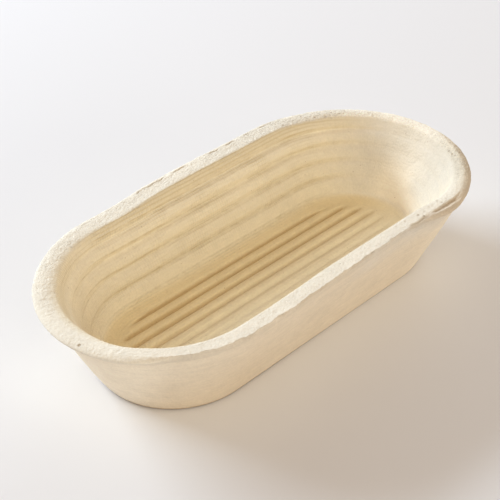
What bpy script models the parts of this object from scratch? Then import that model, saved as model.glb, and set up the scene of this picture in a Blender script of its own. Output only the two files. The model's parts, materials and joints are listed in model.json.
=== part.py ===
"""Oblong proofing basket of moulded wood pulp, standing on its base, long side along X.

The basket is one thick felted shell. The sections of its inside and its outside are drawn out from the axis of
a round end and swept round the oblong: half a turn about one end, along a side, half a turn about the other
end and back again. The flat top of the lip joins the two skins. Ripples run round the inner wall, and straight
grooves leave rounded ribs along the floor.
"""

import math

import bmesh
import bpy
from mathutils import Matrix, Vector

# Overall sizes, in metres
LENGTH = 0.270
WIDTH = 0.140
HEIGHT = 0.055

# Shell: the hollow's round ends reach further out than the outside's, so the end walls are thinner
WALL_SLOPE = math.radians(24.3)
WALL_THICKNESS = 0.0115
END_WALL_THINNING = 0.0035
FLOOR_THICKNESS = 0.0090
FLOOR_FILLET = 0.0080
BASE_ROUND = 0.0030

# Lip: it stands proud of the outer wall, with a sloping underside
LIP_OVERHANG = 0.0034
LIP_DEPTH = 0.0060
LIP_UNDERSIDE = 0.0032
LIP_OUTER_ROUND = 0.0036
LIP_INNER_ROUND = 0.0018
LIP_LOWER_ROUND = 0.0018
LIP_NOTCH_ROUND = 0.0030

# Ripples round the inner wall
RIPPLE_START = 0.0079
RIPPLE_PITCH = 0.0099
RIPPLE_DEPTH = 0.0009

# Grooves along the floor, and the ribs between them
RIB_PITCH = 0.0080
GROOVE_DEPTH = 0.0016
GROOVE_RADIUS = 0.0019
GROOVE_TIP_RADIUS = 0.0009
GROOVE_RUN_OUT = 0.0080
GROOVE_END_GAP = 0.0075
GROOVE_TIP_LIFT = 0.0002

# Fineness of the faces
END_STEPS = 22
SIDE_STEPS = 6
ROUND_STEPS = 4
RIPPLE_STATIONS = (-0.5, -0.3, -0.15, 0.0, 0.15, 0.3)
GROOVE_BEVEL_RESOLUTION = 2
MERGE_DISTANCE = 2e-5
SMOOTH_ANGLE = math.radians(35.0)

PULP_COLOUR = (0.80, 0.69, 0.51, 1.0)
PULP_ROUGHNESS = 0.92

# Sizes that follow from the ones above
OUTSIDE_CENTRE = (LENGTH - WIDTH) / 2
HOLLOW_CENTRE = OUTSIDE_CENTRE + END_WALL_THINNING
LIP_BOTTOM = HEIGHT - LIP_DEPTH
WALL_ACROSS = WALL_THICKNESS / math.cos(WALL_SLOPE)
LIP_WALL_EDGE = WIDTH / 2 - LIP_OVERHANG


def outer_wall(height):
    """How far out the outer wall is at a height."""
    return LIP_WALL_EDGE - (LIP_BOTTOM - height) * math.tan(WALL_SLOPE)


def inner_wall(height):
    """How far out the plain inner wall is at a height."""
    return outer_wall(height) - WALL_ACROSS


MOUTH_EDGE = inner_wall(HEIGHT)
FLOOR_EDGE = inner_wall(FLOOR_THICKNESS)
FILLET_TURN = math.pi / 2 - WALL_SLOPE
WALL_RUN = (HEIGHT - FLOOR_THICKNESS) / math.cos(WALL_SLOPE) - FLOOR_FILLET * math.tan(FILLET_TURN / 2)
WALL_END = WALL_RUN + FLOOR_FILLET * FILLET_TURN
RIPPLE_COUNT = 1 + int((WALL_END - RIPPLE_START) / RIPPLE_PITCH)


def inside_point(distance):
    """The plain inside at a distance down from the mouth, and the way out of its surface into the hollow."""
    down = Vector((-math.sin(WALL_SLOPE), -math.cos(WALL_SLOPE)))
    into_hollow = Vector((-math.cos(WALL_SLOPE), math.sin(WALL_SLOPE)))
    run = min(distance, WALL_RUN)
    foot = Vector((MOUTH_EDGE, HEIGHT)) + down * run
    turned = Matrix.Rotation(-(distance - run) / FLOOR_FILLET, 2) @ into_hollow
    return foot + (into_hollow - turned) * FLOOR_FILLET, turned


def rippled_wall():
    """The inner wall from the floor up to the mouth, with a soft hollow for each ripple."""
    points = [inside_point(WALL_END)[0]]
    for ripple in reversed(range(RIPPLE_COUNT)):
        for station in reversed(RIPPLE_STATIONS):
            distance = RIPPLE_START + (ripple + station) * RIPPLE_PITCH
            if LIP_INNER_ROUND < distance < WALL_END:
                place, into_hollow = inside_point(distance)
                depth = RIPPLE_DEPTH * math.cos(math.pi * station) ** 4
                points.append(place - into_hollow * depth)
    return points


def rounded_corner(before, corner, after, radius):
    """The points of an arc that rounds a corner, with the arc kept on the two edges that meet there."""
    to_before = before - corner
    to_after = after - corner
    half_angle = to_before.angle(to_after) / 2
    longest_reach = min(to_before.length, to_after.length) / 2
    reach = min(radius / math.tan(half_angle), longest_reach)
    kept_radius = reach * math.tan(half_angle)
    middle = (to_before.normalized() + to_after.normalized()).normalized()
    centre = corner + middle * (reach / math.cos(half_angle))
    first = (corner + to_before.normalized() * reach - centre).normalized()
    last = (corner + to_after.normalized() * reach - centre).normalized()
    shares = [step / ROUND_STEPS for step in range(ROUND_STEPS + 1)]
    return [centre + first.slerp(last, share) * kept_radius for share in shares]


def hollow_section():
    """The inside as points (out, up), from the middle of the floor up to the flat top of the lip."""
    wall = rippled_wall()
    mouth = Vector((MOUTH_EDGE, HEIGHT))
    lip_top = Vector((WIDTH / 2 - LIP_OUTER_ROUND, HEIGHT))
    floor_middle = Vector((0.0, FLOOR_THICKNESS))
    return [floor_middle] + wall + rounded_corner(wall[-1], mouth, lip_top, LIP_INNER_ROUND)


def outside_section():
    """The outside as points (out, up), from the flat top of the lip down to the middle of the underside."""
    notch_height = LIP_BOTTOM - LIP_UNDERSIDE
    lip_top = Vector((MOUTH_EDGE, HEIGHT))
    base_middle = Vector((0.0, 0.0))
    corners = [
        (Vector((WIDTH / 2, HEIGHT)), LIP_OUTER_ROUND),
        (Vector((WIDTH / 2, LIP_BOTTOM)), LIP_LOWER_ROUND),
        (Vector((outer_wall(notch_height), notch_height)), LIP_NOTCH_ROUND),
        (Vector((outer_wall(0.0), 0.0)), BASE_ROUND),
    ]
    places = [lip_top] + [place for place, _ in corners] + [base_middle]
    points = []
    for index, (corner, radius) in enumerate(corners):
        points += rounded_corner(places[index], corner, places[index + 2], radius)
    return points + [base_middle]


def sweep_round_oblong(mesh, points, end_centre):
    """Take a section round both ends and along both sides, into one skin that is open at the lip."""
    verts = [mesh.verts.new((end_centre, -out, up)) for out, up in points]
    edges = [mesh.edges.new(pair) for pair in zip(verts, verts[1:])]
    moving = verts + edges
    for side in (1, -1):
        turned = bmesh.ops.spin(
            mesh,
            geom=moving,
            cent=(side * end_centre, 0.0, 0.0),
            axis=(0.0, 0.0, 1.0),
            angle=math.pi,
            steps=END_STEPS,
        )
        slid = bmesh.ops.spin(
            mesh,
            geom=turned["geom_last"],
            axis=(0.0, 0.0, 1.0),
            dvec=(-side * 2 * end_centre / SIDE_STEPS, 0.0, 0.0),
            steps=SIDE_STEPS,
        )
        moving = slid["geom_last"]


def shell_mesh():
    """The closed shell: the hollow and the outside, joined across the flat top of the lip."""
    mesh = bmesh.new()
    sweep_round_oblong(mesh, hollow_section(), HOLLOW_CENTRE)
    sweep_round_oblong(mesh, outside_section(), OUTSIDE_CENTRE)
    bmesh.ops.remove_doubles(mesh, verts=mesh.verts[:], dist=MERGE_DISTANCE)
    bmesh.ops.dissolve_degenerate(mesh, edges=mesh.edges[:], dist=MERGE_DISTANCE)
    bmesh.ops.bridge_loops(mesh, edges=[edge for edge in mesh.edges if edge.is_boundary])
    bmesh.ops.recalc_face_normals(mesh, faces=mesh.faces[:])
    data = bpy.data.meshes.new("pulp_shell")
    mesh.to_mesh(data)
    mesh.free()
    return data


def groove_lines():
    """Each floor groove's distance from the middle line and half its length."""
    ribs = max(round(2 * FLOOR_EDGE / RIB_PITCH), 1)
    pitch = 2 * FLOOR_EDGE / ribs
    end_radius = FLOOR_EDGE - GROOVE_END_GAP
    for groove in range(1, ribs):
        across = (groove - ribs / 2) * pitch
        if abs(across) < end_radius:
            yield across, HOLLOW_CENTRE + math.sqrt(end_radius**2 - across**2)


def groove_cutter(collection):
    """One mesh holding a round bar for each floor groove, thinner and higher towards its tips."""
    curve = bpy.data.curves.new("groove_bars", "CURVE")
    curve.dimensions = "3D"
    curve.bevel_depth = GROOVE_RADIUS
    curve.bevel_resolution = GROOVE_BEVEL_RESOLUTION
    curve.use_fill_caps = True
    axis_height = FLOOR_THICKNESS + GROOVE_RADIUS - GROOVE_DEPTH
    tip_height = FLOOR_THICKNESS + GROOVE_TIP_RADIUS + GROOVE_TIP_LIFT
    tip_share = GROOVE_TIP_RADIUS / GROOVE_RADIUS
    for across, half_length in groove_lines():
        inner = half_length - GROOVE_RUN_OUT
        stops = [
            (-half_length, tip_height, tip_share),
            (-inner, axis_height, 1.0),
            (inner, axis_height, 1.0),
            (half_length, tip_height, tip_share),
        ]
        spline = curve.splines.new("POLY")
        spline.points.add(len(stops) - 1)
        for point, (along, up, share) in zip(spline.points, stops):
            point.co = (along, across, up, 1.0)
            point.radius = share
    bars = bpy.data.objects.new("groove_bars_curve", curve)
    collection.objects.link(bars)
    bpy.context.view_layer.update()
    evaluated = bars.evaluated_get(bpy.context.evaluated_depsgraph_get())
    data = bpy.data.meshes.new_from_object(evaluated)
    mesh = bmesh.new()
    mesh.from_mesh(data)
    bmesh.ops.remove_doubles(mesh, verts=mesh.verts[:], dist=MERGE_DISTANCE)
    bmesh.ops.recalc_face_normals(mesh, faces=mesh.faces[:])
    mesh.to_mesh(data)
    mesh.free()
    cutter = bpy.data.objects.new("groove_cutter", data)
    cutter.matrix_world = bars.matrix_world
    cutter.hide_render = True
    cutter.display_type = "WIRE"
    collection.objects.link(cutter)
    bpy.data.objects.remove(bars)
    return cutter


def pulp_material():
    """Matt cream wood pulp."""
    material = bpy.data.materials.new("wood_pulp")
    material.use_nodes = True
    shader = material.node_tree.nodes["Principled BSDF"]
    shader.inputs["Base Color"].default_value = PULP_COLOUR
    shader.inputs["Roughness"].default_value = PULP_ROUGHNESS
    shader.inputs["Metallic"].default_value = 0.0
    return material


def new_collection(name):
    collection = bpy.data.collections.new(name)
    bpy.context.scene.collection.children.link(collection)
    return collection


def main():
    for existing in list(bpy.data.objects):
        bpy.data.objects.remove(existing)
    basket = new_collection("proofing_basket")
    cutters = new_collection("cutters")

    shell = bpy.data.objects.new("pulp_shell", shell_mesh())
    shell.data.materials.append(pulp_material())
    shell.data.shade_smooth()
    shell.data.set_sharp_from_angle(angle=SMOOTH_ANGLE)
    basket.objects.link(shell)

    grooves = shell.modifiers.new("floor_grooves", "BOOLEAN")
    grooves.operation = "DIFFERENCE"
    grooves.solver = "EXACT"
    grooves.object = groove_cutter(cutters)


main()
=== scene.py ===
import json
import math
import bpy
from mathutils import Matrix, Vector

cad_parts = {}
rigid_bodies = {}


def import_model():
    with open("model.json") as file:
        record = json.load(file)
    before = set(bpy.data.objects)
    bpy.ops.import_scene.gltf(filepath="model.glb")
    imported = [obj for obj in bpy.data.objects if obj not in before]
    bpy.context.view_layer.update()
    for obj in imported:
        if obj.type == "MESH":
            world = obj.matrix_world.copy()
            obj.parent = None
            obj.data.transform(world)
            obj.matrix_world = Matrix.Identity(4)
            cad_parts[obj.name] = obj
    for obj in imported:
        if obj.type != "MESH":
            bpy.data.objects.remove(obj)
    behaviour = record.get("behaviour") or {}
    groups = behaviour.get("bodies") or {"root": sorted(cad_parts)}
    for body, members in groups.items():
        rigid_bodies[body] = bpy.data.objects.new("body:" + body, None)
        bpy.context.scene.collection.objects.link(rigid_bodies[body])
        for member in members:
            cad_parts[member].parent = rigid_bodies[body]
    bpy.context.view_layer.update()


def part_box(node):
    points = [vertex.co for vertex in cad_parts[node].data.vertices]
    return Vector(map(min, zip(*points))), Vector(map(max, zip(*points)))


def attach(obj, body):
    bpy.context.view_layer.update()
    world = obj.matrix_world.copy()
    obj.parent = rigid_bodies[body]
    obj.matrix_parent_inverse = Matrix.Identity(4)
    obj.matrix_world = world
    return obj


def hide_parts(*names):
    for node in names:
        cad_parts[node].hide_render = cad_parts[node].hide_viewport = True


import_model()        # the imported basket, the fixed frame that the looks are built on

from types import SimpleNamespace

import bmesh
import bpy
from mathutils import Matrix, Vector, noise

lowCorner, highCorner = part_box("pulp_shell")
length, width, height = highCorner - lowCorner
print(f"frame: basket of {length:.3f} x {width:.3f} x {height:.3f} m")


# Helpers for the shaders


class Wire:  # an output of a shader node, which can stand in a sum
    def __init__(self, tree, socket=None):
        self.tree = tree
        self.socket = socket

    def node(self, kind, settings=None, sockets=None, output=0):
        made = self.tree.nodes.new("ShaderNode" + kind)
        for name, value in (settings or {}).items():
            setattr(made, name, value)
        for name, value in (sockets or {}).items():
            if isinstance(value, Wire):
                self.tree.links.new(value.socket, made.inputs[name])
            else:
                made.inputs[name].default_value = value
        return Wire(self.tree, made.outputs[output])

    def maths(self, operation, *values):
        return self.node("Math", {"operation": operation}, dict(enumerate(values)))

    def __add__(self, other):
        return self.maths("ADD", self, other)

    def __radd__(self, other):
        return self.maths("ADD", other, self)

    def __sub__(self, other):
        return self.maths("SUBTRACT", self, other)

    def __rsub__(self, other):
        return self.maths("SUBTRACT", other, self)

    def __mul__(self, other):
        return self.maths("MULTIPLY", self, other)

    def __rmul__(self, other):
        return self.maths("MULTIPLY", other, self)

    def __truediv__(self, other):
        return self.maths("DIVIDE", self, other)

    def __abs__(self):
        return self.maths("ABSOLUTE", self)

    def root(self):
        return self.maths("SQRT", self)

    def sine(self):
        return self.maths("SINE", self)

    def atLeast(self, other):
        return self.maths("MAXIMUM", self, other)

    def atMost(self, other):
        return self.maths("MINIMUM", self, other)

    def fade(self, none, full):  # 0 at the first value, 1 at the second, smooth between, up or down
        settings = {"interpolation_type": "SMOOTHSTEP"}
        return self.node("MapRange", settings, {"Value": self, "From Min": none, "From Max": full})

    def noise(self, size, detail=2.0):  # soft lumps of a size in metres, about -0.5 to 0.5
        sockets = {"Vector": self, "Scale": 1 / size, "Detail": detail}
        return self.node("TexNoise", None, sockets) - 0.5

    def mix(self, first, second):  # two colours by this share of the second, on the node's colour sockets
        return self.node("Mix", {"data_type": "RGBA"}, {"Factor": self, 6: first, 7: second}, 2)

    def tint(self, strength):  # this colour made lighter or darker by a factor
        return self.node("VectorMath", {"operation": "SCALE"}, {0: self, "Scale": strength})


def newMaterial(name):
    material = bpy.data.materials.new(name)
    material.use_nodes = True
    return material, Wire(material.node_tree), material.node_tree.nodes["Principled BSDF"]


# Pulp shell: sizes in metres, angles in radians

shell = {
    "lean": math.radians(24.3),     # the walls lean out by this much
    "wall": 0.0115,                 # thickness of the moulded pulp
    "endThinner": 0.0035,           # the hollow's ends reach this much nearer to the outside
    "floor": 0.0090,                # height of the floor's plain surface
    "floorRound": 0.0080,           # rounding between floor and wall
    "mouthRound": 0.0013,           # rounding of the lip's inner edge
    "lipStand": 0.0034,             # the lip stands this far out from the wall below it
    "lipDeep": 0.0060,              # depth of the lip's outer face
    "baseRound": 0.0022,            # rounding of the base's edge
    "floorRing": 0.0015,            # flat ring of floor round the ribs
    "baseRing": 0.0060,             # flat ring of underside round its grid
    # lip outline from its top edge down: how far in from the widest place, how far down from the top
    "lipOutline": (
        (0.0060, 0.0000),
        (0.0052, 0.0000),
        (0.0045, 0.0000),
        (0.0038, 0.0000),
        (0.0031, 0.0001),
        (0.0022, 0.0002),
        (0.0011, 0.0006),
        (0.0002, 0.0013),
        (0.0000, 0.0021),
        (0.0006, 0.0031),
        (0.0017, 0.0040),
        (0.0028, 0.0048),
        (0.0034, 0.0058),
    ),
    "endSteps": 80,                 # faces round an end, before they are made finer
    "sideSteps": 26,                # faces along half a side
    "landCuts": 2,                  # cuts across the flat of the lip
    "wallRows": 8,                  # rows of faces down the outer wall
    "cornerSteps": 2,               # faces round a rounded corner
    "floorSpan": 60,                # faces across the floor's grid
    "baseSpan": 30,                 # faces across the underside's grid
    "smoothing": 1,                 # subdivision levels
}
ripples = {
    "start": 0.0081,                # from the mouth's edge down the wall to the first hollow
    "pitch": 0.0100,
    "depth": 0.0023,
    "narrow": 0.19,                 # half the width of a hollow, as a share of the pitch
    "rows": (-0.5, -0.25, -0.1, 0.1, 0.25),     # rows of faces from a hollow, as shares of the pitch
    "leftShare": 0.12,              # depth at the left end, as a share of that along the sides
    "leftFade": (-0.010, 0.038),    # from the centre of the end's round
    "rightShare": 0.12,
    "rightFar": (0.055, 0.015),     # on the far side the right end keeps its depth
    "lowShare": 0.45,               # depth low on the wall, as a share of that at the top
    "lowFade": (0.022, 0.036),
}
tiny = 1e-5                         # points nearer to each other than this are one

endCentre = (length - width) / 2
hollowCentre = endCentre + shell["endThinner"]
leanTan = math.tan(shell["lean"])


def outsideAt(up):
    lipFoot = height - shell["lipDeep"]
    return width / 2 - shell["lipStand"] - (lipFoot - up) * leanTan


def insideAt(up):
    return outsideAt(up) - shell["wall"] / math.cos(shell["lean"])


mouthEdge = insideAt(height)
filletTurn = math.pi / 2 - shell["lean"]
wallRun = (height - shell["floor"]) / math.cos(shell["lean"]) - shell["floorRound"] * math.tan(filletTurn / 2)
wallEnd = wallRun + shell["floorRound"] * filletTurn


def hollowPoint(down):  # inside of the section at a distance down the wall from the mouth
    lean, radius = shell["lean"], shell["floorRound"]
    downWall = Vector((-math.sin(lean), -math.cos(lean)))
    inward = Vector((-math.cos(lean), math.sin(lean)))
    run = min(down, wallRun)
    turned = Matrix.Rotation(-(down - run) / radius, 2) @ inward
    return Vector((mouthEdge, height)) + downWall * run + (inward - turned) * radius


def roundCorner(before, corner, after, radius):  # points of an arc between two straight runs
    toBefore = (before - corner).normalized()
    toAfter = (after - corner).normalized()
    half = toBefore.angle(toAfter) / 2
    middle = corner + (toBefore + toAfter).normalized() * (radius / math.sin(half))
    first = (corner + toBefore * (radius / math.tan(half)) - middle).normalized()
    last = (corner + toAfter * (radius / math.tan(half)) - middle).normalized()
    steps = shell["cornerSteps"]
    return [middle + first.slerp(last, step / steps) * radius for step in range(steps + 1)]


def hollowSection():  # from the floor's ring up to the flat of the lip, as (out, up)
    floorEdge = hollowPoint(wallEnd)
    points = [floorEdge - Vector((shell["floorRing"], 0)), floorEdge]
    wall = []
    for ripple in range(int(wallEnd / ripples["pitch"])):
        for row in ripples["rows"]:
            wall.insert(0, hollowPoint(ripples["start"] + (ripple + row) * ripples["pitch"]))
    mouth = Vector((mouthEdge, height))
    outerEdge = Vector((width / 2, height))
    return points + wall + roundCorner(wall[-1], mouth, outerEdge, shell["mouthRound"])


def outsideSection():  # from the flat of the lip down the outside and in under the base
    points = [Vector((width / 2 - inset, height - drop)) for inset, drop in shell["lipOutline"]]
    wallTop = points[-1].y - (points[-2].y - points[-1].y)
    wallFoot = shell["baseRound"]
    for row in range(shell["wallRows"]):
        up = wallTop + (wallFoot - wallTop) * row / shell["wallRows"]
        points.append(Vector((outsideAt(up), up)))
    foot = Vector((outsideAt(0), 0))
    points += roundCorner(points[-1], foot, Vector((0, 0)), shell["baseRound"])
    return points + [foot - Vector((shell["baseRing"], 0))]


def selectVerts(wanted):  # picks vertices of the mesh in edit mode by a test
    bpy.ops.mesh.select_all(action="DESELECT")
    data = bpy.context.edit_object.data
    mesh = bmesh.from_edit_mesh(data)
    for vert in mesh.verts:
        vert.select_set(wanted(vert))
    mesh.select_flush_mode()
    bmesh.update_edit_mesh(data)


def makeActive(vertTest):  # the selected vertex that some operators start from
    data = bpy.context.edit_object.data
    mesh = bmesh.from_edit_mesh(data)
    mesh.select_history.clear()
    mesh.select_history.add(min((vert for vert in mesh.verts if vert.select), key=vertTest))
    bmesh.update_edit_mesh(data)


# a section drawn point by point, spun round an end and pulled to the middle
def drawSkin(name, section, centre):
    bpy.ops.object.select_all(action="DESELECT")
    bpy.ops.mesh.primitive_plane_add(size=width)
    skin = bpy.context.object
    skin.name = name
    bpy.ops.object.mode_set(mode="EDIT")
    bpy.ops.mesh.merge(type="CENTER")
    bpy.ops.transform.translate(value=(centre, -section[0].x, section[0].y))
    for here, there in zip(section, section[1:]):
        out, up = there - here
        bpy.ops.mesh.extrude_region_move(TRANSFORM_OT_translate={"value": (0, -out, up)})
    bpy.ops.mesh.select_linked()
    bpy.ops.mesh.spin(steps=shell["endSteps"], angle=math.pi, center=(centre, 0, 0), axis=(0, 0, -1))
    selectVerts(lambda vert: abs(vert.co.x - centre) < tiny)
    for _ in range(shell["sideSteps"]):
        step = (-centre / shell["sideSteps"], 0, 0)
        bpy.ops.mesh.extrude_region_move(TRANSFORM_OT_translate={"value": step})
    bpy.ops.mesh.select_all(action="SELECT")
    bpy.ops.mesh.symmetrize(direction="POSITIVE_X", threshold=tiny)
    bpy.ops.object.mode_set(mode="OBJECT")
    return skin


def onRim(up):
    return lambda vert: vert.is_boundary and abs(vert.co.z - up) < tiny


def fillGrid(up, span):  # closes the open ring at a height with a grid that runs along the basket
    selectVerts(onRim(up))
    around = sum(vert.select for vert in bmesh.from_edit_mesh(bpy.context.edit_object.data).verts)
    endFaces = around * shell["endSteps"] / (2 * shell["endSteps"] + 4 * shell["sideSteps"])
    cornerTurn = -math.pi / 2 * span / endFaces
    makeActive(lambda vert: abs(math.atan2(vert.co.y, vert.co.x - endCentre) - cornerTurn))
    bpy.ops.mesh.fill_grid(span=span)


def thinRing(up):  # drops every other point of an open ring
    selectVerts(onRim(up))
    makeActive(lambda vert: vert.co.y)
    bpy.ops.mesh.select_nth(skip=1, nth=1)
    bpy.ops.mesh.dissolve_verts()


def applyModifier(piece, name):
    bpy.ops.object.select_all(action="DESELECT")
    piece.select_set(True)
    bpy.context.view_layer.objects.active = piece
    bpy.ops.object.modifier_apply(modifier=name)


def makeShell():
    hollow = drawSkin("hollowSkin", hollowSection(), hollowCentre)
    outside = drawSkin("pulpShell", outsideSection(), endCentre)
    hollow.select_set(True)
    outside.select_set(True)
    bpy.context.view_layer.objects.active = outside
    bpy.ops.object.join()
    bpy.ops.object.mode_set(mode="EDIT")
    selectVerts(onRim(height))
    bpy.ops.mesh.bridge_edge_loops(number_cuts=shell["landCuts"], interpolation="LINEAR")
    fillGrid(shell["floor"], shell["floorSpan"])
    thinRing(0.0)
    fillGrid(0.0, shell["baseSpan"])
    bpy.ops.mesh.select_all(action="SELECT")
    bpy.ops.mesh.remove_doubles(threshold=tiny)
    bpy.ops.mesh.normals_make_consistent(inside=False)
    bpy.ops.object.mode_set(mode="OBJECT")
    smooth = outside.modifiers.new("smooth", "SUBSURF")
    smooth.levels = smooth.render_levels = shell["smoothing"]
    applyModifier(outside, "smooth")
    return outside


def splitLip(piece):  # halves the faces round the lip, which has the finest lumps
    lipFoot = height - shell["lipDeep"] - shell["lipStand"]
    bpy.ops.object.mode_set(mode="EDIT")
    bpy.ops.mesh.select_mode(type="EDGE")
    bpy.ops.mesh.select_all(action="DESELECT")
    mesh = bmesh.from_edit_mesh(piece.data)
    for edge in mesh.edges:
        ends = [vert.co for vert in edge.verts]
        fromMiddle = min(abs(end.x) for end in ends) < tiny < ends[0].x + ends[1].x
        onLip = min(end.z for end in ends) > lipFoot and max(end.y for end in ends) < -mouthEdge
        edge.select_set(fromMiddle and onLip and abs(ends[0].y - ends[1].y) < tiny)
    bmesh.update_edit_mesh(piece.data)
    bpy.ops.mesh.loop_multi_select(ring=False)
    bpy.ops.mesh.subdivide(number_cuts=1)
    bpy.ops.mesh.select_mode(type="VERT")
    bpy.ops.object.mode_set(mode="OBJECT")


# Ripples, ribs, trimmed edge and felt: pressed into the mesh, each by its own group of weighted points.
# A pair is where a weight is 0 and where it is 1, in metres from the middle of the base,
# from the top down or past the cut.

ribs = {
    "count": 9,
    "depth": 0.0021,
    "nearFade": (-0.026, 0.012),    # the grooves die out towards the near side
    "endGap": 0.0075,               # from the ribs' ends to the foot of the end wall
    "runOut": 0.0080,               # length over which a groove comes up to the floor
    "narrow": 0.19,                 # half the width of a groove, as a share of the pitch
}
trim = {  # on the near side the lip was cut off flush with the wall, and left ragged
    "inset": 0.0046,                # from the widest place in to the cut
    "rightInset": 0.0060,           # the same towards the right end
    "rightFade": (-0.010, 0.070),
    "endInset": 0.0030,             # at the right end and on the far side there is a crack and no cut
    "endFade": (0.070, 0.100),
    "farInset": 0.0041,
    "start": -0.010,                # the cut begins here across the basket
    "lateStart": -0.054,            # and here towards the right end
    "lateFade": (0.050, 0.090),
    "startLength": 0.018,           # it comes in over this length
    "leftFade": (-0.128, -0.105),
    "flushFade": (0.080, 0.035),    # to the left of this the wall below is flush with the cut
    "ragged": 0.0012,               # how far the cut wanders
    "rightRagged": 0.4,             # share of that towards the right end
    "raggedFade": (0.030, 0.060),
    "raggedDown": (0.0060, 0.0015),
    "teeth": 0.0017,                # size of its teeth
    "largest": 0.0080,              # the shift for a full weight
}
crack = {  # along the far edge, and torn under the near cut
    "wide": 0.0011,
    "deep": 0.0010,
    "gaps": 0.010,                  # it comes and goes over this length
    "leftFade": (0.060, 0.085),     # it dies out at both ends
    "rightFade": (0.050, 0.080),
    "farShare": 0.7,                # depth along the far edge, as a share
    "nearShares": (0.3, 0.9),       # depth under the near cut, at the left and at the right
    "nearFade": (0.020, 0.090),
    "nearDown": (0.0050, 0.0026),   # it lies above this at the left, and along the cut at the right
    "nearPast": (0.0036, 0.0020),
    "pastFade": (0.040, 0.065),
    "foot": (0.0060, 0.0040),
}
stain = {  # painted shade on the lip's outer edge round the near right, which faces away from the light
    "share": 0.65,
    "rightFade": (0.035, 0.070),
    "nearFade": (-0.012, -0.040),
    "past": (-0.0008, 0.0010),
    "down": (0.0040, 0.0018),
}
warp = {  # the shell warped as it dried
    "rise": 0.0013,                 # the rim is higher along the sides
    "riseLeft": (-0.055, 0.0),
    "riseRight": (0.085, 0.055),
    "sink": 0.0020,                 # and lower at the far left
    "sinkLeft": (-0.020, -0.055),
    "sinkFar": (-0.040, 0.030),
    "nearSink": 0.10,               # share at the near left, and at the far right
    "rightSink": 0.4,
    "sinkRight": (0.070, 0.095),
    "sinkRightFar": (-0.050, 0.020),
    "drift": 0.0026,                # the hollow's mouth lies to the right of the outside
    "driftEnds": (0.060, 0.110),
    "driftNear": (-0.035, 0.0),
    "driftUp": (0.010, 0.050),
}
land = {  # the pale flat of the lip
    "inner": (-0.0012, 0.0012),     # it comes in round the mouth's edge
    "farShift": (0.0009, 0.0007),   # further out along the far side
    "leftShift": 0.0030,            # and over a longer way at the left end
    "down": (0.0035, 0.0010),
    "leftDown": 0.0015,             # there it reaches this much further down
    "leftNear": (-0.060, 0.005),
    "farFade": (0.0, 0.030),
}
worn = {  # the lip's inner edge, worn round at the ends
    "reach": 0.0065,
    "depth": 0.0020,
    "ends": (0.055, 0.105),
    "near": (-0.045, 0.005),        # the left end is not worn on its near side
    "down": (0.0120, 0.0010),
}
felt = (  # coarse to fine: group, size of the lumps, how far they stand from dent to bump
    {"group": "standing", "lumps": 0.0600, "depth": 0.0010},
    {"group": "lip", "lumps": 0.0060, "depth": 0.0006},
    {"group": "lip", "lumps": 0.0018, "depth": 0.0007},
    {"group": "outside", "lumps": 0.0090, "depth": 0.0006},
    {"group": "outside", "lumps": 0.0035, "depth": 0.0003},
    {"group": "hollow", "lumps": 0.0120, "depth": 0.0004},
)
pits = {"cell": 0.0090, "reach": 0.10, "depth": 0.0009}  # in the lip, about one to a cell


def smoothStep(none, full, value):  # 0 at the first value, 1 at the second, up or down
    share = min(max((value - none) / (full - none), 0.0), 1.0)
    return share * share * (3.0 - 2.0 * share)


def blend(first, second, share):
    return first + (second - first) * share


def awayFromMiddle(place, centre):  # distance out from the line between the two end centres
    return math.hypot(max(abs(place.x) - centre, 0.0), place.y)


def outsideWall(place):  # 1 on the outer half of the wall, 0 on the inner
    middle = outsideAt(place.z) - shell["wall"] / 2
    return smoothStep(-0.001, 0.001, awayFromMiddle(place, endCentre) - middle)


def valley(share, narrow):  # 1 at a whole number, 0 between
    return math.exp(-(((share - round(share)) / narrow) ** 2))


def ripplesAt(place):
    alongWall = (height - place.z) / math.cos(shell["lean"])
    leftEnd = smoothStep(*ripples["leftFade"], -place.x - endCentre)
    rightEnd = smoothStep(0.0, mouthEdge, place.x - endCentre) * smoothStep(*ripples["rightFar"], place.y)
    share = 1 - leftEnd * (1 - ripples["leftShare"]) - rightEnd * (1 - ripples["rightShare"])
    onWall = smoothStep(0.0, 0.004, alongWall) * smoothStep(wallRun + 0.006, wallRun, alongWall)
    onWall *= blend(1, ripples["lowShare"], smoothStep(*ripples["lowFade"], alongWall))
    hollow = valley((alongWall - ripples["start"]) / ripples["pitch"], ripples["narrow"])
    return hollow * share * onWall * (1 - outsideWall(place))


def ribsAt(place):
    floorEdge = insideAt(shell["floor"])
    endReach = floorEdge - ribs["endGap"]
    pitch = 2 * floorEdge / ribs["count"]
    along = abs(place.x) - hollowCentre - math.sqrt(max(endReach**2 - place.y**2, 0.0))
    onFloor = float(abs(place.z - shell["floor"]) < 0.0005)
    inSides = 1 - smoothStep(endReach + 0.001, floorEdge - 0.004, abs(place.y))
    groove = valley(place.y / pitch + 0.5, ribs["narrow"])
    groove *= smoothStep(*ribs["nearFade"], place.y)
    return groove * onFloor * inSides * (1 - smoothStep(-ribs["runOut"], 0.0, along))


def lipAt(place):
    return smoothStep(*land["down"], height - place.z)


def nearCut(place):  # 1 where the lip is trimmed
    start = blend(trim["start"], trim["lateStart"], smoothStep(*trim["lateFade"], place.x))
    cut = smoothStep(start, start - trim["startLength"], place.y)
    return cut * smoothStep(*trim["leftFade"], place.x)


def outward(place):  # direction out from the line between the two end centres
    return Vector((place.x - min(max(place.x, -endCentre), endCentre), place.y, 0.0)).normalized()


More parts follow.
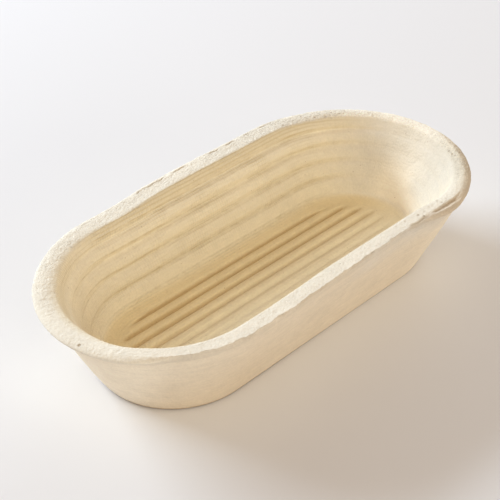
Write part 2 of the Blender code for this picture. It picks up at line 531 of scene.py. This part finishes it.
def cutInset(place):  # from the widest place in to the ragged edge of the cut
    edge = place + outward(place) * (width / 2 - awayFromMiddle(place, endCentre))
    edge.z = height
    teeth = noise.noise(edge / trim["teeth"]) + noise.noise(edge / trim["teeth"] / 2.5)
    inset = blend(trim["inset"], trim["rightInset"], smoothStep(*trim["rightFade"], place.x))
    inset = blend(inset, trim["endInset"], smoothStep(*trim["endFade"], place.x))
    inset = blend(trim["farInset"], inset, nearCut(place))
    ragged = trim["ragged"] * blend(1, trim["rightRagged"], smoothStep(*trim["raggedFade"], place.x))
    return inset - teeth * ragged / 2 * smoothStep(*trim["raggedDown"], height - place.z)


def pastCut(place):
    return cutInset(place) - (width / 2 - awayFromMiddle(place, endCentre))


def flushAt(place):  # how far the outside moves in, to a straight wall from the base's edge up to the cut
    foot = outsideAt(0)
    flush = blend(foot, width / 2 - cutInset(place), place.z / height)
    share = nearCut(place) * outsideWall(place) * smoothStep(*trim["flushFade"], place.x)
    shift = max(awayFromMiddle(place, endCentre) - flush, 0.0) * share
    return outward(place) * min(shift / trim["largest"], 1.0)


def flushNear(place):
    return -flushAt(place).y


def flushLeft(place):
    return -flushAt(place).x


def flushRight(place):
    return flushAt(place).x


def crackAt(place):
    past, cut, down = pastCut(place), nearCut(place), height - place.z
    right = smoothStep(*crack["nearFade"], place.x) * cut
    ends = smoothStep(*crack["rightFade"], place.x) * (1 - cut)
    ends = max(ends, smoothStep(*crack["leftFade"], -place.x))
    parted = smoothStep(-0.25, 0.3, noise.noise(place / crack["gaps"]) + right) * (1 - ends)
    far = smoothStep(-0.0002, 0.0002, past) * smoothStep(crack["wide"], 0.0005, past)
    below = smoothStep(*crack["nearDown"], down)
    below = blend(below, smoothStep(*crack["nearPast"], past), smoothStep(*crack["pastFade"], place.x))
    near = smoothStep(0.0, 0.0003, past) * below * blend(*crack["nearShares"], right)
    deep = blend(far * crack["farShare"], near, cut)
    return parted * deep * outsideWall(place) * smoothStep(*crack["foot"], down)


def stainAt(place):  # painted shade: the cracks darkened, and the lip's outer edge round the near right
    right = smoothStep(*stain["rightFade"], place.x) * smoothStep(*stain["nearFade"], place.y)
    edge = smoothStep(*stain["past"], pastCut(place)) * smoothStep(*stain["down"], height - place.z)
    return max(crackAt(place), edge * right * stain["share"])


def landAt(place):  # as far as the cut
    left = smoothStep(*worn["ends"], -place.x) * smoothStep(*land["leftNear"], place.y)
    far = smoothStep(*land["farFade"], place.y) * (1 - left)
    out = awayFromMiddle(place, hollowCentre) - mouthEdge
    none, full = (edge + shift * far for edge, shift in zip(land["inner"], land["farShift"]))
    inner = smoothStep(none, full + land["leftShift"] * left, out)
    foot, top = land["down"]
    flat = smoothStep(foot + land["leftDown"] * left, top, height - place.z)
    return flat * inner * (1 - nearCut(place) * smoothStep(-0.0002, 0.0003, pastCut(place)))


def driftAt(place):  # all of the hollow's mouth at both ends, less towards the floor
    inner = smoothStep(0.0080, -0.0010, awayFromMiddle(place, hollowCentre) - mouthEdge)
    left = smoothStep(*warp["driftEnds"], -place.x) * smoothStep(*warp["driftNear"], place.y)
    right = smoothStep(*warp["driftEnds"], place.x)
    return inner * (left + right) * smoothStep(*warp["driftUp"], place.z)


def feltLip(place):  # rougher along the far side and at the right end
    rough = max(smoothStep(0.050, 0.110, place.x), smoothStep(-0.010, 0.040, place.y))
    return lipAt(place) * blend(0.45, 1.0, rough)


def risenAt(place):
    along = smoothStep(*warp["riseLeft"], place.x) * smoothStep(*warp["riseRight"], place.x)
    return along * max(place.z, 0.0) / height


def sunkAt(place):
    left = smoothStep(*warp["sinkLeft"], place.x)
    left *= blend(warp["nearSink"], 1.0, smoothStep(*warp["sinkFar"], place.y))
    right = smoothStep(*warp["sinkRight"], place.x) * smoothStep(*warp["sinkRightFar"], place.y)
    return (left + right * warp["rightSink"]) * max(place.z, 0.0) / height


def wornAt(place):
    out = awayFromMiddle(place, hollowCentre) - mouthEdge
    left = smoothStep(*worn["ends"], -place.x) * smoothStep(*worn["near"], place.y)
    share = left + smoothStep(*worn["ends"], place.x)
    inner = min(max(1 - out / worn["reach"], 0.0), 1.0)
    return share * inner * inner * smoothStep(*worn["down"], height - place.z)


def standingAt(place):
    return smoothStep(0.0100, 0.0300, place.z)


def outsideFelt(place):
    return outsideWall(place) * (1 - lipAt(place)) * smoothStep(0.0005, 0.0100, place.z)


def hollowFelt(place):
    return (1 - outsideWall(place)) * (1 - lipAt(place)) * smoothStep(0.0040, 0.0060, place.z)


groups = {
    "ripples": ripplesAt,
    "ribs": ribsAt,
    "drift": driftAt,
    "flushNear": flushNear,
    "flushLeft": flushLeft,
    "flushRight": flushRight,
    "crack": crackAt,
    "worn": wornAt,
    "risen": risenAt,
    "sunk": sunkAt,
    "lip": feltLip,
    "standing": standingAt,
    "outside": outsideFelt,
    "hollow": hollowFelt,
}
marks = {"stain": stainAt, "land": landAt}  # kept on the points for the shader


def weigh(piece):
    for name, weightAt in groups.items():
        group = piece.vertex_groups.new(name=name)
        for vert in piece.data.vertices:
            weight = weightAt(vert.co)
            if weight > 0:
                group.add((vert.index,), weight, "REPLACE")
    for name, markAt in marks.items():
        attribute = piece.data.attributes.new(name, "FLOAT", "POINT")
        for vert, mark in zip(piece.data.vertices, attribute.data):
            mark.value = markAt(vert.co)


def press(piece, group, depth, texture=None, middle=0.0, direction="NORMAL"):
    displace = piece.modifiers.new("press", "DISPLACE")
    displace.texture = texture
    displace.vertex_group = group
    displace.strength = depth
    displace.mid_level = middle
    displace.direction = direction
    applyModifier(piece, "press")


def pressMould(piece):
    press(piece, "ripples", -ripples["depth"])
    press(piece, "ribs", -ribs["depth"], direction="Z")
    press(piece, "drift", warp["drift"], direction="X")
    press(piece, "flushNear", trim["largest"], direction="Y")
    press(piece, "flushLeft", trim["largest"], direction="X")
    press(piece, "flushRight", -trim["largest"], direction="X")
    press(piece, "crack", -crack["deep"])
    press(piece, "worn", -worn["depth"], direction="Z")
    press(piece, "risen", warp["rise"], direction="Z")
    press(piece, "sunk", -warp["sink"], direction="Z")


def setRamp(ramp, stops):  # stops as (place, grey)
    while len(ramp.elements) < len(stops):
        ramp.elements.new(1.0)
    for element, (place, grey) in zip(ramp.elements, stops):
        element.position = place
        element.color = (grey, grey, grey, 1.0)


def pressFelt(piece):
    for layer in felt:
        clouds = bpy.data.textures.new("felt", "CLOUDS")
        clouds.noise_basis = "IMPROVED_PERLIN"
        clouds.noise_scale = layer["lumps"]
        clouds.noise_depth = 2
        press(piece, layer["group"], layer["depth"], clouds, 0.5)
    cells = bpy.data.textures.new("pits", "VORONOI")
    cells.noise_scale = pits["cell"]
    cells.use_color_ramp = True
    setRamp(cells.color_ramp, ((0.0, 1.0), (pits["reach"], 0.0)))
    press(piece, "lip", -pits["depth"], cells)


pulpShell = makeShell()
splitLip(pulpShell)
weigh(pulpShell)
pressMould(pulpShell)
pressFelt(pulpShell)
bpy.ops.object.shade_smooth()
print("shell:", len(pulpShell.data.vertices), "points,", len(pulpShell.data.polygons), "faces")


# Pulp: one felted stuff, paler towards the lip and browner on the floor,
# with the forming screen's weave printed on the inside, and painted light and shade in its colour

pulp = {
    "lipColour": (0.88, 0.81, 0.67, 1.0),
    "rightLipShadeColour": (0.88, 0.785, 0.615, 1.0),       # painted shade on the near right of the lip, which turns away from the light
    "wallColour": (0.894, 0.79, 0.588, 1.0),
    "paleTopAndLitEndColour": (0.84, 0.77, 0.638, 1.0),         # paler top of the hollow, and painted light on its right end, which faces the window
    "valleyShadeAndScratchColour": (0.69, 0.57, 0.36, 1.0),        # painted shade in the ripples' hollows and just under the lip's inner edge, and the screen's scratches
    "hatchColour": (0.53, 0.41, 0.23, 1.0),         # dark hatching along the screen's wires
    "floorColour": (0.84, 0.688, 0.418, 1.0),
    "litNearFloorColour": (0.955, 0.85, 0.62, 1.0),         # painted light on the near side of the floor
    # painted shade in the floor's grooves
    "grooveShadeColour": (0.58, 0.39, 0.162, 1.0),
    "outsideColour": (0.895, 0.798, 0.638, 1.0),
    "litEndsColour": (0.999, 0.895, 0.71, 1.0),      # painted light on both ends of the outside
    "lowShadeColour": (0.797, 0.66, 0.469, 1.0),        # painted shade, darker and browner low on the near side
    "paleBandColour": (0.83, 0.77, 0.66, 1.0),         # paler, patchy band under the near edge
    # painted shade in the cracks and on the lip's near right edge
    "edgeShadeColour": (0.55, 0.41, 0.25, 1.0),
    # dark specks and dents, and painted shade in the lip's holes and at the foot of the outside
    "speckAndShadeColour": (0.42, 0.28, 0.14, 1.0),
    # how much of a colour is mixed in where its mask is full
    "edgeShadeShare": 0.8,
    "scratchShare": 0.85,
    "hatchShare": 0.5,
    "speckShare": 0.7,
    "holeShare": 0.7,
    # light and dark, as shares of the colour
    "patches": ((0.040, 0.10), (0.007, 0.12), (0.0012, 0.16)),  # size, strength
    "fleck": (0.0008, 0.30),        # the same on the lip alone
    "weaveLight": 0.085,
    "streakLight": 0.16,
    # painted light on the right end of the lip's flat, whose outward slope faces away from the window
    "rightLipPaintedLight": 0.14,
    # sizes and heights in metres
    "grain": ((0.0035, 0.0004), (0.0012, 0.0004)),              # size, height
    "lipGrain": (0.0010, 0.0004),
    "weave": 0.0021,                # gap between the screen's long wires
    "crossWeave": 0.0016,           # gap between its cross wires
    "weaveHeight": 0.00012,
    "wander": (0.010, 3.0),         # the wires wander: size of the waves, radians
    "streak": (0.0016, 0.12),       # pale streaks round the outside: height, height over length
    "dash": (0.0009, 0.22),         # dashes that the lines are broken into: height, height over length
    "bareSpot": 0.022,              # spots where the weave shows
    "speckCell": 0.006,             # about one speck to a cell
    "holeCell": 0.0030,             # holes in the right half of the lip, one to a cell
    "holePatch": 0.012,             # the holes lie in patches
    "dents": ((-0.1235, 0.0060), (-0.1315, -0.0125)),           # two dark dents in the flat of the lip
    "dentReach": 0.0011,
    "pitDeep": 0.0006,              # specks and dents lie this deep in the lip
    "roughness": 0.92,
    "specular": 0.2,
}


def longMarks(at, size, share):  # noise drawn out round the basket
    drawnOut = at.make.node("CombineXYZ", None, {0: at.around * share, 1: at.out * share, 2: at.z})
    return drawnOut.noise(size)


def pulpPlaces(make):  # where a point of the pulp lies: lengths in metres, then masks from 0 to 1
    at = SimpleNamespace(make=make, point=make.node("TexCoord", output="Object"))
    at.x, at.y, at.z = (make.node("SeparateXYZ", None, {0: at.point}, axis) for axis in "XYZ")
    at.down = height - at.z         # below the top
    at.up = at.z - shell["floor"]   # above the floor
    endward = (abs(at.x) - hollowCentre).atLeast(0.0)
    at.out = (endward * endward + at.y * at.y).root()
    at.around = abs(at.x).atMost(hollowCentre) + endward.maths("ARCTAN2", endward, abs(at.y)) * mouthEdge

    middle = outsideAt(0) - shell["wall"] * 0.7 + at.z * leanTan
    at.hollow = (middle - at.out).fade(-0.001, 0.001) * at.z.fade(0.004, 0.005)
    at.lip = make.node("Attribute", {"attribute_name": "land"}, None, "Fac")
    at.stain = make.node("Attribute", {"attribute_name": "stain"}, None, "Fac")
    at.onWall = at.up.fade(0.004, 0.010) * at.hollow
    at.far = at.y.fade(-0.014, 0.020)
    at.rightLip = at.x.fade(0.080, 0.110) * at.y.fade(-0.005, -0.035)
    at.rightWall = at.x.fade(0.060, 0.105) * at.y.fade(0.055, 0.025)
    at.sides = 1.0 - at.x.fade(-0.060, -0.105).atLeast(at.rightWall)
    downWall = at.down / math.cos(shell["lean"])
    turn = (downWall - ripples["start"]) * (math.tau / ripples["pitch"]) + math.pi / 2
    at.valleys = turn.sine().fade(0.10, 0.95)
    at.bare = at.point.noise(pulp["bareSpot"]).fade(-0.15, 0.25)
    at.dashes = longMarks(at, *pulp["dash"]).fade(-0.05, 0.20)
    roughRight = at.x.fade(0.090, 0.115) * 1.3
    roughFar = at.y.fade(0.020, 0.050) * (at.x.fade(0.020, 0.060) * 0.8 + 1.0)
    at.rough = at.lip * (roughRight + roughFar + 0.7)
    return at


def insideColour(at):
    # paler near the top, and painted light on the right end's inside
    underRim = at.z.fade(0.036, 0.053) * at.x.fade(-0.110, -0.050) * 0.35
    paleTopAndLitEnd = underRim.atLeast(at.x.fade(0.075, 0.115) * at.y.fade(0.055, 0.020))
    colour = paleTopAndLitEnd.mix(pulp["wallColour"], pulp["paleTopAndLitEndColour"])
    # painted shade along the ripples' hollows, stronger low on the wall
    strength = at.bare * 0.25 + at.x.fade(0.020, 0.080) * 0.2 + at.z.fade(0.034, 0.020) * 0.25 + 0.22
    valleyShade = at.valleys * strength * (at.dashes * 0.6 + 0.6) * at.sides * at.up.fade(0.0006, 0.0020)
    colour = valleyShade.mix(colour, pulp["valleyShadeAndScratchColour"])
    # the floor's tan, with painted light on its near side
    floorColour = at.far.mix(pulp["litNearFloorColour"], pulp["floorColour"])
    colour = at.up.fade(0.0030, 0.0002).mix(colour, floorColour)
    # painted shade in the floor's grooves, darker on the far side
    groove = at.up.fade(-0.0002, -ribs["depth"]) * (at.far * 0.6 + 0.06)
    return groove.mix(colour, pulp["grooveShadeColour"])


def outsideColour(at):
    # painted shade: darker and browner low on the outside
    lowShade = at.z.fade(0.070, 0.006) * at.x.fade(-0.120, -0.098) * (0.6 - 0.25 * at.x.fade(-0.070, -0.030))
    colour = lowShade.mix(pulp["outsideColour"], pulp["lowShadeColour"])
    # painted light on both ends of the outside
    litRight = at.x.fade(0.050, 0.085) * at.z.fade(0.052, 0.042)
    litEnds = litRight.atLeast(at.x.fade(-0.100, -0.122)) * 0.9
    colour = litEnds.mix(colour, pulp["litEndsColour"])
    # paler, patchy band high on the outside
    paleBand = at.z.fade(0.034, 0.046) * at.x.fade(-0.010, 0.020) * at.x.fade(0.085, 0.060)
    colour = (paleBand * (at.bare * 0.6 + 0.4)).mix(colour, pulp["paleBandColour"])
    # painted contact shade at the foot of the outside
    foot = at.z.fade(0.0026, 0.0004) * (at.x.fade(0.020, -0.060) * 0.7 + 0.1)
    return foot.mix(colour, pulp["speckAndShadeColour"])


def feltColour(at):
    # painted shade on the near right of the lip
    lipColour = at.rightLip.mix(pulp["lipColour"], pulp["rightLipShadeColour"])
    colour = at.lip.mix(at.hollow.mix(outsideColour(at), insideColour(at)), lipColour)
    # painted shade in the cracks and on the lip's near right edge
    return (at.stain * pulp["edgeShadeShare"]).mix(colour, pulp["edgeShadeColour"])


def screenPrint(at):  # the screen's weave, and the masks of its scratches, which carry painted shade just under the lip's inner edge, and of the dark hatching
    size, radians = pulp["wander"]
    wander = at.point.noise(size) * radians
    lean = shell["lean"]
    alongSkin = at.out + at.z * ((1 - math.sin(lean)) / math.cos(lean))  # length along floor and wall
    wires = (alongSkin * (math.tau / pulp["weave"]) + wander).sine()
    crossing = (at.around * (math.tau / pulp["crossWeave"]) + wander).sine()
    strength = at.valleys * 0.5 + at.down.fade(0.016, 0.006) * at.sides * 0.7 + 0.3
    weave = (wires * strength + crossing * at.onWall * 0.5) * at.hollow * (at.bare * 0.8 + 0.2)
    weave = weave * (1.0 - at.x.fade(0.030, 0.090) * 0.7) * (1.0 - at.lip)

    wall = at.onWall * (1.0 - at.lip)
    # painted shade just under the lip's inner edge, drawn in the screen's wires and ticks
    underRim = at.down.fade(0.0080, 0.0030) * (wires.fade(-0.4, 0.8) * 0.5 + 0.5)
    scratches = (wires.fade(0.1, 0.9) * strength * at.bare).atLeast(underRim) * at.sides
    ticks = (crossing.fade(0.1, 0.9) * 0.5 + 0.3) * at.down.fade(0.0130, 0.0070)
    scratches = scratches.atLeast(ticks * at.x.fade(-0.080, -0.100)) * wall
    hatch = wires.fade(0.0, 0.9) * (at.valleys * 0.7 + 0.2) * (at.dashes * 0.5 + 0.5)
    hatch = hatch * (at.x.fade(0.050, -0.020) * 0.7 + 0.3)
    hatch = hatch * (1.0 - at.x.fade(-0.095, -0.125).atLeast(at.rightWall)) * wall
    return weave, scratches, hatch


def paintedLightAndMottling(at, weave):  # painted light and shade, with the weave, streaks and mottling: a factor of the colour
    rightEnd = at.x.fade(0.080, 0.105)
    # painted light and shade on the right end's inside
    middleGlow = at.y.fade(0.020, 0.005) * at.y.fade(-0.014, -0.004) * at.z.fade(0.040, 0.025) * 0.18
    nearGlow = at.y.fade(-0.004, -0.014) * at.z.fade(0.026, 0.016) * 0.25
    nearShade = at.y.fade(-0.006, -0.022) * 0.11
    paintedEndLight = (middleGlow + nearGlow - nearShade) * rightEnd * at.z.fade(0.009, 0.014) * at.hollow
    # painted shade under the lip on the outside, more at both ends
    underLipShade = at.down.fade(0.0080, 0.0050) * (1.0 - at.lip) * (1.0 - at.hollow)
    underLipShade = underLipShade * (0.05 + 0.08 * at.x.fade(-0.060, -0.110) + 0.18 * rightEnd)
    streaks = longMarks(at, *pulp["streak"]) * (1.0 - at.hollow)
    light = 1.0 + paintedEndLight + weave * pulp["weaveLight"] + streaks * pulp["streakLight"] - underLipShade
    # painted light on the right end of the lip's flat
    rightLip = at.lip * at.x.fade(0.090, 0.115) * at.y.fade(-0.045, -0.010)
    light = light + rightLip * pulp["rightLipPaintedLight"]
    for size, strength in pulp["patches"]:
        light = at.point.noise(size) * strength + light
    size, strength = pulp["fleck"]
    # fine flecks on the rough lip, and painted shade on its near right
    return light + (at.point.noise(size) * strength - 0.06 * at.rightLip) * at.rough


def dots(at, cell, edge, core):  # one round dot to a cell, its radii as shares of the cell
    sockets = {"Vector": at.point, "Scale": 1 / cell}
    return at.make.node("TexVoronoi", None, sockets, "Distance").fade(edge, core)


# dark specks and dents, and painted shade in the holes of the lip
def specksAndHoleShade(at):
    specksAndPits = dots(at, pulp["speckCell"], 0.06, 0.03)
    holes = dots(at, pulp["holeCell"], 0.30, 0.16) * at.point.noise(pulp["holePatch"]).fade(-0.10, 0.15)
    specksAndPits = specksAndPits.atLeast(holes * at.x.fade(0.020, 0.060) * at.lip * pulp["holeShare"])
    for dentX, dentY in pulp["dents"]:
        across = ((at.x - dentX) * (at.x - dentX) + (at.y - dentY) * (at.y - dentY)).root()
        specksAndPits = specksAndPits.atLeast(across.fade(pulp["dentReach"], 0.0004) * at.lip)
    return specksAndPits


def feltRelief(at, weave, specksAndPits):
    relief = weave * pulp["weaveHeight"]
    for size, rise in pulp["grain"]:
        relief = at.point.noise(size, 3.0) * rise + relief
    size, rise = pulp["lipGrain"]
    lipRelief = at.point.noise(size, 3.0) * at.rough * rise - specksAndPits * at.lip * pulp["pitDeep"]
    return lipRelief + relief


def pulpMaterial():
    material, make, shader = newMaterial("pulp")
    at = pulpPlaces(make)
    weave, scratches, hatch = screenPrint(at)
    specksAndPits = specksAndHoleShade(at)
    colour = feltColour(at).tint(paintedLightAndMottling(at, weave))
    # the screen's scratches, with painted shade just under the lip's inner edge
    colour = (scratches * pulp["scratchShare"]).mix(colour, pulp["valleyShadeAndScratchColour"])
    colour = (hatch * pulp["hatchShare"]).mix(colour, pulp["hatchColour"])
    colour = (specksAndPits * at.hollow.atLeast(at.lip) * pulp["speckShare"]).mix(colour, pulp["speckAndShadeColour"])
    bump = {"Height": feltRelief(at, weave, specksAndPits), "Strength": 1.0, "Distance": 1.0}
    normal = make.node("Bump", None, bump)
    for name, wire in (("Base Color", colour), ("Normal", normal)):
        material.node_tree.links.new(wire.socket, shader.inputs[name])
    shader.inputs["Roughness"].default_value = pulp["roughness"]
    shader.inputs["Specular IOR Level"].default_value = pulp["specular"]
    return material


pulpShell.data.materials.clear()
pulpShell.data.materials.append(pulpMaterial())
print("finish: pulp")

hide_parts("pulp_shell")
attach(pulpShell, "root")


# Camera at the photograph's angle

view = {
    "azimuth": math.radians(-42.1),
    "elevation": math.radians(36.53),
    "roll": math.radians(-2.63),
    "aim": (-0.00929, 0.02547),     # point looked at, right of and above the basket's base
    "distance": 0.62482,
    "lens": 79.81,                  # millimetres
    "sensor": 36.0,
}


def addCamera():
    turn = (
        Matrix.Rotation(view["azimuth"], 3, "Z")
        @ Matrix.Rotation(math.pi / 2 - view["elevation"], 3, "X")
        @ Matrix.Rotation(view["roll"], 3, "Z")
    )
    camera = bpy.data.objects.new("camera", bpy.data.cameras.new("camera"))
    camera.data.lens = view["lens"]
    camera.data.sensor_width = view["sensor"]
    camera.location = turn @ Vector((*view["aim"], view["distance"]))
    camera.rotation_euler = turn.to_euler()
    bpy.context.scene.collection.objects.link(camera)
    bpy.context.scene.camera = camera


addCamera()


# Floor and light

studio = {
    "paper": (0.815, 0.803, 0.795, 1.0),
    "paperRoughness": 0.9,
    "paperSpecular": 0.1,
    "floorSize": 16.0,
    "world": (0.380, 0.294, 0.252, 1.0),
    "distance": 2.8,                # from the basket to every light
    # name, direction round and up in degrees, width, height, power, colour
    "lights": (
        ("window", 103, 26.5, 1.75, 0.56, 95.1, (0.73, 0.86, 1.0)),
        ("card", 240, 50, 1.96, 1.96, 21.6, (1.0, 1.0, 0.85)),
        ("sideCard", 30, 10, 1.68, 1.68, 29.4, (0.82, 0.94, 1.0)),
        ("frontCard", 280, 12, 1.68, 0.84, 15.7, (1.0, 0.96, 0.88)),
    ),
}


def addFloor():
    bpy.ops.object.select_all(action="DESELECT")
    bpy.ops.mesh.primitive_plane_add(size=studio["floorSize"])
    floor = bpy.context.object
    floor.name = "floor"
    material, _, shader = newMaterial("paper")
    shader.inputs["Base Color"].default_value = studio["paper"]
    shader.inputs["Roughness"].default_value = studio["paperRoughness"]
    shader.inputs["Specular IOR Level"].default_value = studio["paperSpecular"]
    floor.data.materials.append(material)


def addLights():
    for name, around, up, wide, tall, power, colour in studio["lights"]:
        turn = Matrix.Rotation(math.radians(around), 3, "Z") @ Matrix.Rotation(-math.radians(up), 3, "Y")
        toLight = turn @ Vector((1, 0, 0))
        lamp = bpy.data.lights.new(name, "AREA")
        lamp.shape = "RECTANGLE"
        lamp.size = wide
        lamp.size_y = tall
        lamp.energy = power
        lamp.color = colour
        lampObject = bpy.data.objects.new(name, lamp)
        lampObject.location = toLight * studio["distance"]
        lampObject.rotation_euler = toLight.to_track_quat("Z", "Y").to_euler()
        bpy.context.scene.collection.objects.link(lampObject)
    world = bpy.data.worlds.new("studio")
    world.use_nodes = True
    world.node_tree.nodes["Background"].inputs["Color"].default_value = studio["world"]
    bpy.context.scene.world = world
    bpy.context.scene.view_settings.view_transform = "Standard"


addFloor()
addLights()
print("studio: floor, camera and", len(studio["lights"]), "lights")
